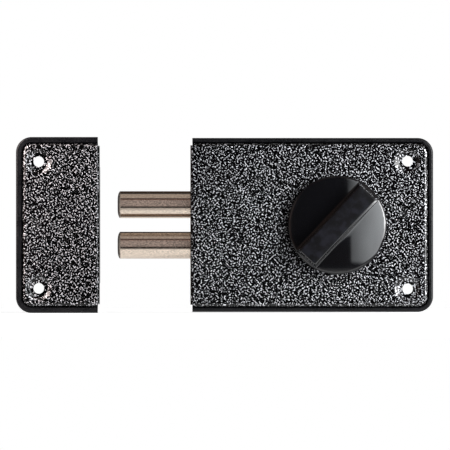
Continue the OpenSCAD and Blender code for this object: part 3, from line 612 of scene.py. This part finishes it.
def build_knob(sizes):
    """One closed mesh: the outside of the knob, its rim, cavity, boss and square bore."""
    shape = KnobShape(sizes)
    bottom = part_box("knob")[1][1]
    crease = 38
    wall = 0.0022
    cavity = sizes.skirt - wall
    bore = 0.0036
    bore_corner = 0.00002
    bore_end = 0.0119
    insert = 0.0027
    insert_end = 0.0162
    boss = 0.0071
    columns = []
    angles = [math.radians(angle) for angle in knob_angles()]
    for angle in angles:
        inner = shape.radius - wall
        square = across(angle, bore, bore, bore_corner)
        columns.append(shape.column(angle) + [
            (inner, 0.0), (inner, cavity), (boss, cavity), (boss, 0.0),
            (square, 0.0), (square, bore_end), (insert, bore_end), (insert, insert_end)])
    mesh = bpy.data.meshes.new("turn_knob")
    build = bmesh.new()

    def point(radius, height, angle):
        turned = angle + sizes.grip_angle
        return Vector((radius * math.cos(turned), bottom - height, radius * math.sin(turned)))

    rings = [[build.verts.new(point(*column[k], angle)) for column, angle in zip(columns, angles)]
             for k in range(len(columns[0]))]
    count = len(angles)
    for upper, lower in zip(rings, rings[1:]):
        for i in range(count):
            j = (i + 1) % count
            build.faces.new((upper[i], upper[j], lower[j], lower[i]))
    for ring, height in ((rings[0], sizes.height), (rings[-1], insert_end)):
        pole = build.verts.new(point(0, height, 0))
        for i in range(count):
            build.faces.new((pole, ring[i], ring[(i + 1) % count]))
    bmesh.ops.remove_doubles(build, verts=build.verts, dist=1e-7)
    bmesh.ops.recalc_face_normals(build, faces=build.faces)
    build.to_mesh(mesh)
    build.free()
    return smooth_piece("turn_knob", mesh, crease)


# Assembly screws by Geometry Nodes.

# Sockets of a Random Value node by index, as its kinds share their names.
RANDOM_FLOAT_MAX = 3
RANDOM_FLOAT_OUTPUT = 1

# Inputs of the screws' tree with their defaults; the recess is how deep a head lies under the plate's face.
SCREW_SIZES = (
    ("Head", 0.0074), ("Head depth", 0.00175), ("Recess", 0.00025), ("Diameter", 0.004),
    ("Length", 0.012), ("Pitch", 0.0007), ("Cross", 0.0009), ("Cross depth", 0.0014))


def screw_tree(material):
    """Geometry Nodes tree that puts a threaded, countersunk cross-head screw on each point."""
    ridge_share = 0.47
    thread_start_turns, thread_spare_turns = 0.75, 1.5
    tree = bpy.data.node_groups.new("Countersunk screws", 'GeometryNodeTree')
    tree.interface.new_socket("Places", in_out='INPUT', socket_type='NodeSocketGeometry')
    for label, value in SCREW_SIZES:
        socket = tree.interface.new_socket(label, in_out='INPUT', socket_type='NodeSocketFloat')
        socket.subtype = 'DISTANCE'
        socket.default_value = value
    seed = tree.interface.new_socket("Seed", in_out='INPUT', socket_type='NodeSocketInt')
    seed.default_value = 7
    tree.interface.new_socket("Screws", in_out='OUTPUT', socket_type='NodeSocketGeometry')
    given = add(tree, 'NodeGroupInput')
    gives = add(tree, 'NodeGroupOutput')
    sizes = given.outputs

    def half(socket):
        return product(tree, socket, 0.5)

    def move(geometry, height):
        node = add(tree, 'GeometryNodeTransform')
        join(tree, geometry, node.inputs['Geometry'])
        join(tree, vector_of(tree, 0, 0, height), node.inputs['Translation'])
        return node.outputs[0]

    head = add(tree, 'GeometryNodeMeshCone', "Head", fill_type='NGON')
    head.inputs['Vertices'].default_value = 48
    join(tree, half(sizes['Head']), head.inputs['Radius Bottom'])
    join(tree, half(sizes['Diameter']), head.inputs['Radius Top'])
    join(tree, sizes['Head depth'], head.inputs['Depth'])
    cutter = add(tree, 'GeometryNodeMeshBoolean', "Cross", operation='UNION', solver='EXACT')
    long, wide, deep = half(sizes['Head']), sizes['Cross'], product(tree, sizes['Cross depth'], 2.0)
    for size in ((long, wide, deep), (wide, long, deep)):
        arm = add(tree, 'GeometryNodeMeshCube', "Cross arm")
        join(tree, vector_of(tree, *size), arm.inputs['Size'])
        join(tree, arm.outputs['Mesh'], cutter.inputs['Mesh 2'])
    sunk = add(tree, 'GeometryNodeMeshBoolean', "Cross recess", operation='DIFFERENCE', solver='EXACT')
    join(tree, head.outputs['Mesh'], sunk.inputs['Mesh 1'])
    join(tree, cutter.outputs['Mesh'], sunk.inputs['Mesh 2'])

    below = math_node(tree, 'ADD', sizes['Recess'], sizes['Head depth'])
    shank_length = math_node(tree, 'SUBTRACT', sizes['Length'], below)
    core = math_node(tree, 'SUBTRACT', half(sizes['Diameter']), half(sizes['Pitch']))
    shank = add(tree, 'GeometryNodeMeshCylinder', "Core", fill_type='NGON')
    shank.inputs['Vertices'].default_value = 32
    join(tree, core, shank.inputs['Radius'])
    join(tree, shank_length, shank.inputs['Depth'])
    shank_middle = math_node(tree, 'ADD', below, half(shank_length))

    thread = add(tree, 'GeometryNodeCurveSpiral', "Thread")
    thread.inputs['Resolution'].default_value = 28
    spare = product(tree, sizes['Pitch'], thread_spare_turns)
    thread_length = math_node(tree, 'SUBTRACT', shank_length, spare)
    join(tree, math_node(tree, 'DIVIDE', thread_length, sizes['Pitch']), thread.inputs['Rotations'])
    join(tree, core, thread.inputs['Start Radius'])
    join(tree, core, thread.inputs['End Radius'])
    join(tree, thread_length, thread.inputs['Height'])
    flank = add(tree, 'GeometryNodeCurvePrimitiveCircle', "Thread flanks")
    flank.inputs['Resolution'].default_value = 4
    join(tree, product(tree, sizes['Pitch'], ridge_share), flank.inputs['Radius'])
    ridge = add(tree, 'GeometryNodeCurveToMesh', "Thread ridge")
    join(tree, thread.outputs['Curve'], ridge.inputs['Curve'])
    join(tree, flank.outputs['Curve'], ridge.inputs['Profile Curve'])
    ridge.inputs['Fill Caps'].default_value = True
    thread_start = math_node(tree, 'ADD', below, product(tree, sizes['Pitch'], thread_start_turns))

    screw = add(tree, 'GeometryNodeJoinGeometry', "Screw")
    join(tree, move(sunk.outputs['Mesh'], sizes['Recess']), screw.inputs[0])
    join(tree, move(shank.outputs['Mesh'], shank_middle), screw.inputs[0])
    join(tree, move(ridge.outputs['Mesh'], thread_start), screw.inputs[0])
    turn = add(tree, 'FunctionNodeRandomValue', "Turn", data_type='FLOAT')
    turn.inputs[RANDOM_FLOAT_MAX].default_value = math.pi / 2
    join(tree, sizes['Seed'], turn.inputs['Seed'])
    placed = add(tree, 'GeometryNodeInstanceOnPoints', "Each place")
    join(tree, sizes['Places'], placed.inputs['Points'])
    join(tree, screw.outputs[0], placed.inputs['Instance'])
    placed.inputs['Rotation'].default_value = (math.pi / 2, 0, 0)
    spun = add(tree, 'GeometryNodeRotateInstances', "Turned")
    join(tree, placed.outputs[0], spun.inputs['Instances'])
    join(tree, vector_of(tree, 0, 0, turn.outputs[RANDOM_FLOAT_OUTPUT]), spun.inputs['Rotation'])
    real = add(tree, 'GeometryNodeRealizeInstances')
    join(tree, spun.outputs[0], real.inputs[0])
    coat = add(tree, 'GeometryNodeSetMaterial', "Finish")
    coat.inputs['Material'].default_value = material
    join(tree, real.outputs[0], coat.inputs['Geometry'])
    join(tree, coat.outputs[0], gives.inputs[0])
    return tree


def plant_screws(tree, name, node, body, length, columns, sizes):
    """Screws in place of a CAD node: one at each corner of its box, or in a single column."""
    crease = 35
    fewest_faces = 100
    low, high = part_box(node)
    reach = sizes.head / 2
    xs = [low[0] + reach, high[0] - reach] if columns == 2 else [(low[0] + high[0]) / 2]
    zs = [low[2] + reach, high[2] - reach]
    places = bpy.data.meshes.new(name + "_places")
    places.from_pydata([(x, 0.0, z) for x in xs for z in zs], [], [])
    holder = new_object(name + "_places", places)
    modifier = holder.modifiers.new("Screws", 'NODES')
    modifier.node_group = tree
    values = {"Head": sizes.head, "Diameter": sizes.diameter, "Length": length, "Pitch": sizes.pitch,
              "Cross": sizes.cross, "Seed": sizes.seed}
    for item in tree.interface.items_tree:
        if item.item_type == 'SOCKET' and item.in_out == 'INPUT' and item.name in values:
            modifier[item.identifier] = values[item.name]
    graph = bpy.context.evaluated_depsgraph_get()
    graph.update()
    mesh = bpy.data.meshes.new_from_object(holder.evaluated_get(graph), depsgraph=graph)
    mesh.name = name
    bpy.data.objects.remove(holder)
    bpy.data.meshes.remove(places)
    if len(mesh.polygons) < fewest_faces:
        raise RuntimeError(name + " came out empty")
    piece = smooth_piece(name, mesh, crease)
    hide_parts(node)
    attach(piece, body)


# Operators: one for each piece or group of like pieces, and one for the studio.


class RIMLOCK_OT_covers(bpy.types.Operator):
    """Paint the two pressed covers in hammered silver and black"""

    bl_idname = "rimlock.covers"
    bl_label = "Covers"

    def execute(self, context):
        dress(hammered_paint(context.scene.rimlock_paint), "case_cover", "strike_cover")
        return {'FINISHED'}


class RIMLOCK_OT_surrounds(bpy.types.Operator):
    """Finish the black surrounds, back plates and flanges"""

    bl_idname = "rimlock.surrounds"
    bl_label = "Surrounds and back plates"

    def execute(self, context):
        finish = context.scene.rimlock_finish
        dress(satin_black("black_surround", finish.surround, roughness=0.32, scale=1600.0),
              "case_surround", "strike_surround")
        dress(satin_black("black_plate", finish.plate, roughness=0.55, scale=900.0),
              "case_back_plate", "strike_back_plate")
        return {'FINISHED'}


class RIMLOCK_OT_bolts(bpy.types.Operator):
    """Finish the two round bolts"""

    bl_idname = "rimlock.bolts"
    bl_label = "Bolts"

    def execute(self, context):
        steel = metal("bolt_steel", context.scene.rimlock_finish.bolt, roughness=0.12, scale=2200.0,
                      length=0.45, spread=0.16, relief=0.00002)
        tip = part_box("bolt_upper")[0][0]
        scatter_tip(steel, plain=tip + 0.0016, turned=tip + 0.0011)
        dress(steel, "bolt_upper", "bolt_lower")
        return {'FINISHED'}


class RIMLOCK_OT_knob(bpy.types.Operator):
    """Build the turn knob with its filleted grip, and finish its washer"""

    bl_idname = "rimlock.knob"
    bl_label = "Knob"

    def execute(self, context):
        scene = context.scene
        sizes = scene.rimlock_knob
        low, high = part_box("knob")
        knob = build_knob(sizes)
        knob.data.materials.append(moulded_black(scene.rimlock_finish, knob_top=low[1],
                                                 rim_top=high[1] - sizes.skirt))
        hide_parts("knob")
        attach(knob, "knob_shaft")
        dress(plain_moulding("white_washer", colour=(0.78, 0.78, 0.75), roughness=0.4), "knob_washer")
        return {'FINISHED'}


class RIMLOCK_OT_drive(bpy.types.Operator):
    """Finish the carriage, hub, guide, bushes, posts and spring inside the case"""

    bl_idname = "rimlock.drive"
    bl_label = "Drive and inner pieces"

    def execute(self, context):
        finish = context.scene.rimlock_finish
        cast = 0.52, 0.53, 0.54
        spring = 0.36, 0.38, 0.42
        hub = 0.5, 0.5, 0.52
        dress(metal("zinc_steel", finish.zinc, roughness=0.32, scale=500.0),
              "cover_pillars", "screw_spacers", "carriage_posts", "spring_posts", "tail_washers",
              "knob_spindle", "strike_pillars", "strike_spacers")
        dress(metal("carriage_steel", finish.zinc, roughness=0.36, scale=420.0, length=0.2), "carriage")
        dress(metal("cast_guide", cast, roughness=0.5, scale=700.0, relief=0.00004),
              "bolt_guide", "strike_guard")
        dress(metal("spring_steel", spring, roughness=0.3, scale=600.0, length=0.1),
              "detent_spring", "post_clips")
        dress(metal("bush_brass", finish.brass, roughness=0.28, scale=700.0, length=0.2),
              "rear_bush", "cover_bush", "knob_insert")
        dress(metal("hub_steel", hub, roughness=0.34, scale=800.0), "pinion_hub")
        return {'FINISHED'}


class RIMLOCK_OT_screws(bpy.types.Operator):
    """Build the countersunk screws with Geometry Nodes, and finish the hexagon and pan-head screws"""

    bl_idname = "rimlock.screws"
    bl_label = "Screws"

    def execute(self, context):
        scene = context.scene
        sizes = scene.rimlock_screws
        plated = metal("plated_screw", scene.rimlock_finish.yellow, roughness=0.3, scale=900.0)
        tree = screw_tree(plated)
        for name, node, body, columns in (
                ("cover_screws", "case_screws", "lock_case", 2),
                ("guide_fixings", "guide_screws", "lock_case", 1),
                ("strike_cover_screws", "strike_screws", "strike_box", 1),
                ("guard_fixings", "guard_screws", "strike_box", 1)):
            length = -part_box(node)[0][1]
            plant_screws(tree, name, node, body, length, columns, sizes)
        dress(plated, "tail_screws", "hub_screw")
        return {'FINISHED'}


class RIMLOCK_OT_studio(bpy.types.Operator):
    """Set the plate, the backdrop, the lamps and the camera"""

    bl_idname = "rimlock.studio"
    bl_label = "Studio"

    def execute(self, context):
        scene = context.scene
        target = Vector((scene.rimlock_studio.centre, -0.03, 0.0))
        plate = set_plate()
        set_backdrop(scene)
        set_lamps(scene.rimlock_studio, target, plate)
        set_camera(scene, target)
        scene.view_settings.view_transform = 'Standard'
        return {'FINISHED'}


# The studio.


def set_camera(scene, target):
    """A camera square to the covers' faces."""
    studio = scene.rimlock_studio
    lens = bpy.data.cameras.new("camera")
    lens.sensor_width = 36
    lens.lens = lens.sensor_width * studio.distance / studio.width
    lens.clip_end = 50
    camera = new_object("camera", lens)
    camera.location = target - Vector((0, studio.distance, 0))
    camera.rotation_euler = (math.pi / 2, 0, 0)
    scene.camera = camera


def set_lamps(studio, target, plate):
    """A clouded window, a weak fill, and three near lamps that each light only some of the pieces."""
    left_share = 0.8
    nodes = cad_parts
    bolts = [nodes["bolt_upper"], nodes["bolt_lower"]]
    strike = [nodes["strike_cover"], nodes["strike_surround"]]
    lock = [node for node in nodes.values() if node not in bolts + strike]
    cloud_lamp(add_lamp("window_lamp", target, azimuth=23.5, elevation=0, distance=2.0, size=(1.35, 3.0),
                        radiance=studio.window, colour=(0.93, 0.97, 1.0)))
    right = add_lamp("right_lamp", Vector((0.036, -0.03, 0.0)), azimuth=48, elevation=8, distance=0.3,
                     size=(0.18, 0.24), radiance=studio.side, spread=50)
    left = add_lamp("left_lamp", Vector((-0.155, -0.03, 0.0)), azimuth=-50, elevation=30, distance=0.25,
                    size=(0.14, 0.22), radiance=left_share * studio.side, colour=(1.0, 0.86, 0.82))
    above = add_lamp("bolt_lamp", Vector((-0.105, -0.016, 0.0)), azimuth=0, elevation=15, distance=0.45,
                     size=(0.06, 0.47), radiance=0.46, colour=(1.0, 0.87, 0.85))
    shine_on(right, lock + [bpy.data.objects["turn_knob"], plate])
    shine_on(left, strike)
    shine_on(above, bolts)
    add_lamp("fill_lamp", target, azimuth=-55, elevation=8, distance=2.0, size=(1.2, 1.2),
             radiance=studio.fill, colour=(1.0, 0.93, 0.91))


def add_lamp(name, target, azimuth, elevation, distance, size, radiance, colour=(1, 1, 1), spread=180):
    """A rectangular lamp that faces its target, by its angles in degrees from the camera's axis.

    A lamp keeps its power when its spread narrows, so the power falls with it to keep the radiance.
    """
    turn, rise = math.radians(azimuth), math.radians(elevation)
    out = Vector((math.sin(turn) * math.cos(rise), -math.cos(turn) * math.cos(rise), math.sin(rise)))
    width, height = size
    data = bpy.data.lights.new(name, 'AREA')
    data.shape = 'RECTANGLE'
    data.size = width
    data.size_y = height
    data.energy = radiance * math.pi * width * height
    data.color = colour
    half = math.radians(spread) / 2
    data.spread = 2 * half
    if spread < 180:
        data.energy *= 1 - half / math.tan(half)
    lamp = new_object(name, data)
    lamp.location = target + distance * out
    lamp.rotation_euler = out.to_track_quat('Z', 'Y').to_euler()
    return lamp


def shine_on(lamp, pieces):
    """Lets a lamp light only these pieces."""
    lit = bpy.data.collections.new(lamp.name + "_lights")
    for piece in pieces:
        lit.objects.link(piece)
    lamp.light_linking.receiver_collection = lit


def cloud_lamp(lamp):
    """Lets a lamp fade towards its left edge and its lower corner, as a window with a room before it.

    A place on the lamp runs from 0 to 1, across and up, and each pair is where a change starts and ends.
    """
    cloud_scale, cloud_depth = 2.2, 0.3
    fade, fade_lean, fade_glow = (-0.06, 0.64), 0.16, (0.0, 2.4)
    glow_low_to_high = 0.55, 1.45
    sill = 0.16, 0.21
    jamb, jamb_lean = (0.135, 0.19), 0.1
    lamp.data.use_nodes = True
    tree = lamp.data.node_tree
    spot = add(tree, 'ShaderNodeNewGeometry').outputs['Parametric']
    aside, up, _ = parts_of(tree, "Across and up", spot)
    cloud = noise(tree, "Cloud", spot, cloud_scale)
    wave = product(tree, math_node(tree, 'SUBTRACT', cloud, 0.5), cloud_depth)
    lean = math_node(tree, 'SUBTRACT', wave, product(tree, up, fade_lean))
    glow_across = ramp(tree, math_node(tree, 'ADD', aside, lean), *fade, *fade_glow, smooth=False)
    glow_up = ramp(tree, up, 0.0, 1.0, *glow_low_to_high, smooth=False)
    tilt = product(tree, math_node(tree, 'SUBTRACT', up, 0.5), jamb_lean)
    inside = product(tree, ramp(tree, up, *sill), ramp(tree, math_node(tree, 'ADD', aside, tilt), *jamb))
    strength = product(tree, product(tree, glow_across, glow_up), inside)
    join(tree, strength, tree.nodes['Emission'].inputs['Strength'])


def ray_masks(tree):
    """Two masks: 1 for camera rays, and 1 for rays that are mirrored or pass through glass."""
    rays = add(tree, 'ShaderNodeLightPath', "Seen directly or mirrored").outputs
    mirrored = math_node(tree, 'MAXIMUM', rays['Is Glossy Ray'], rays['Is Transmission Ray'])
    return rays['Is Camera Ray'], mirrored


def set_plate():
    """Pale plate under the strike and the lock, with softened edges."""
    size = 1.1, 0.67, 0.012
    middle = -0.06, 0.265, cad_low[2] - 0.0062
    edge = 0.001
    whiteness = 0.84
    build = bmesh.new()
    bmesh.ops.create_cube(build, size=1)
    for corner in build.verts:
        corner.co = [place + part * length for place, part, length in zip(middle, corner.co, size)]
    bmesh.ops.bevel(build, geom=build.edges[:], offset=edge, segments=3, affect='EDGES', profile=0.5)
    mesh = bpy.data.meshes.new("studio_plate")
    build.to_mesh(mesh)
    build.free()
    material, tree, shader, _ = new_material("studio_plate")
    shader.inputs['Base Color'].default_value = (0.9, 0.9, 0.9, 1)
    shader.inputs['Roughness'].default_value = 0.9
    camera, mirrored = ray_masks(tree)
    seen = math_node(tree, 'MAXIMUM', camera, mirrored)
    glow = add(tree, 'ShaderNodeEmission')
    join(tree, product(tree, seen, whiteness), glow.inputs['Strength'])
    both = add(tree, 'ShaderNodeAddShader')
    join(tree, shader.outputs[0], both.inputs[0])
    join(tree, glow.outputs[0], both.inputs[1])
    join(tree, both.outputs[0], tree.nodes['Material Output'].inputs['Surface'])
    mesh.materials.append(material)
    plate = new_object("studio_plate", mesh)
    return plate


# Bands of the mirrored room: lower edge, upper edge and colour. An edge is an angle in degrees, which is 0
# straight ahead of the covers, 90 overhead and 180 behind them, and negative below.
ROOM_BANDS = (
    (41, 52, (0.13, 0.07, 0.06)),
    (58, 104, (0.50, 0.45, 0.42)),
    (116, 172, (0.05, 0.037, 0.03)),
    (172, 180, (1.0, 1.0, 1.0)),
    (-27, -14, (0.035, 0.03, 0.028)),
    (-180, -30, (0.72, 0.72, 0.72)))
BAND_BLUR = 2


def mirrored_room(tree, direction):
    """Colour of the room that glossy pieces mirror: two walls, its bands and a warm corner."""
    left_wall, right_wall, corner = (0.03, 0.03, 0.035), (0.07, 0.07, 0.08), (0.22, 0.15, 0.13)
    wall_to_wall = 4, 10
    corner_left, corner_up = (-0.45, -0.65), (-0.45, -0.3)
    ahead = product(tree, direction['Y'], -1.0)
    rise = math_node(tree, 'DEGREES', math_node(tree, 'ARCTAN2', direction['Z'], ahead))
    aside = math_node(tree, 'DEGREES', math_node(tree, 'ARCTAN2', direction['X'], ahead))
    look = mix_colour(tree, ramp(tree, aside, *wall_to_wall), left_wall, right_wall)
    for low, high, colour in ROOM_BANDS:
        band = product(tree, ramp(tree, rise, low - BAND_BLUR, low + BAND_BLUR),
                       ramp(tree, rise, high + BAND_BLUR, high - BAND_BLUR))
        look = mix_colour(tree, band, look, colour)
    far_left = product(tree, ramp(tree, direction['X'], *corner_left),
                       ramp(tree, direction['Z'], *corner_up))
    return mix_colour(tree, far_left, look, corner)


def set_backdrop(scene):
    """White backdrop for the camera, a dim room for mirrored rays, and even light for the rest."""
    light_above, light_below, white = (0.06, 0.06, 0.06), (0.2, 0.2, 0.2), (1.0, 1.0, 1.0)
    above_to_below = 0.3, -0.3
    world = bpy.data.worlds.new("studio")
    scene.world = world
    world.use_nodes = True
    tree = world.node_tree
    direction = parts_of(tree, "Direction", add(tree, 'ShaderNodeTexCoord').outputs['Generated'])
    room = mirrored_room(tree, direction)
    camera, mirrored = ray_masks(tree)
    even = mix_colour(tree, ramp(tree, direction['Z'], *above_to_below), light_above, light_below)
    colour = mix_colour(tree, camera, mix_colour(tree, mirrored, even, room), white)
    join(tree, colour, tree.nodes['Background'].inputs['Color'])


class RIMLOCK_PT_panel(bpy.types.Panel):
    """Lists the lock's pieces and settings"""

    bl_idname = "RIMLOCK_PT_panel"
    bl_label = "Rim box lock"
    bl_space_type = 'VIEW_3D'
    bl_region_type = 'UI'
    bl_category = "Rim lock"

    def draw(self, context):
        layout = self.layout
        for operator in OPERATORS:
            layout.operator(operator.bl_idname)
        for name, settings in SETTINGS.items():
            box = layout.box()
            box.label(text=settings.__doc__)
            for key in settings.__annotations__:
                box.prop(getattr(context.scene, name), key)


SETTINGS = {
    "rimlock_knob": KnobSettings,
    "rimlock_paint": PaintSettings,
    "rimlock_finish": FinishSettings,
    "rimlock_screws": ScrewSettings,
    "rimlock_studio": StudioSettings,
}
OPERATORS = (RIMLOCK_OT_covers, RIMLOCK_OT_surrounds, RIMLOCK_OT_bolts, RIMLOCK_OT_knob, RIMLOCK_OT_drive,
             RIMLOCK_OT_screws, RIMLOCK_OT_studio)
CLASSES = (*SETTINGS.values(), *OPERATORS, RIMLOCK_PT_panel)


def register():
    """Registers the classes and gives the scene its settings."""
    for item in CLASSES:
        bpy.utils.register_class(item)
    for name, settings in SETTINGS.items():
        setattr(bpy.types.Scene, name, PointerProperty(type=settings))


def unregister():
    """Takes back what register did."""
    for name in SETTINGS:
        delattr(bpy.types.Scene, name)
    for item in reversed(CLASSES):
        bpy.utils.unregister_class(item)


def main():
    register()
    bpy.ops.rimlock.covers()
    bpy.ops.rimlock.surrounds()
    bpy.ops.rimlock.bolts()
    bpy.ops.rimlock.knob()
    bpy.ops.rimlock.drive()
    bpy.ops.rimlock.screws()
    bpy.ops.rimlock.studio()


if __name__ == "__main__":
    main()
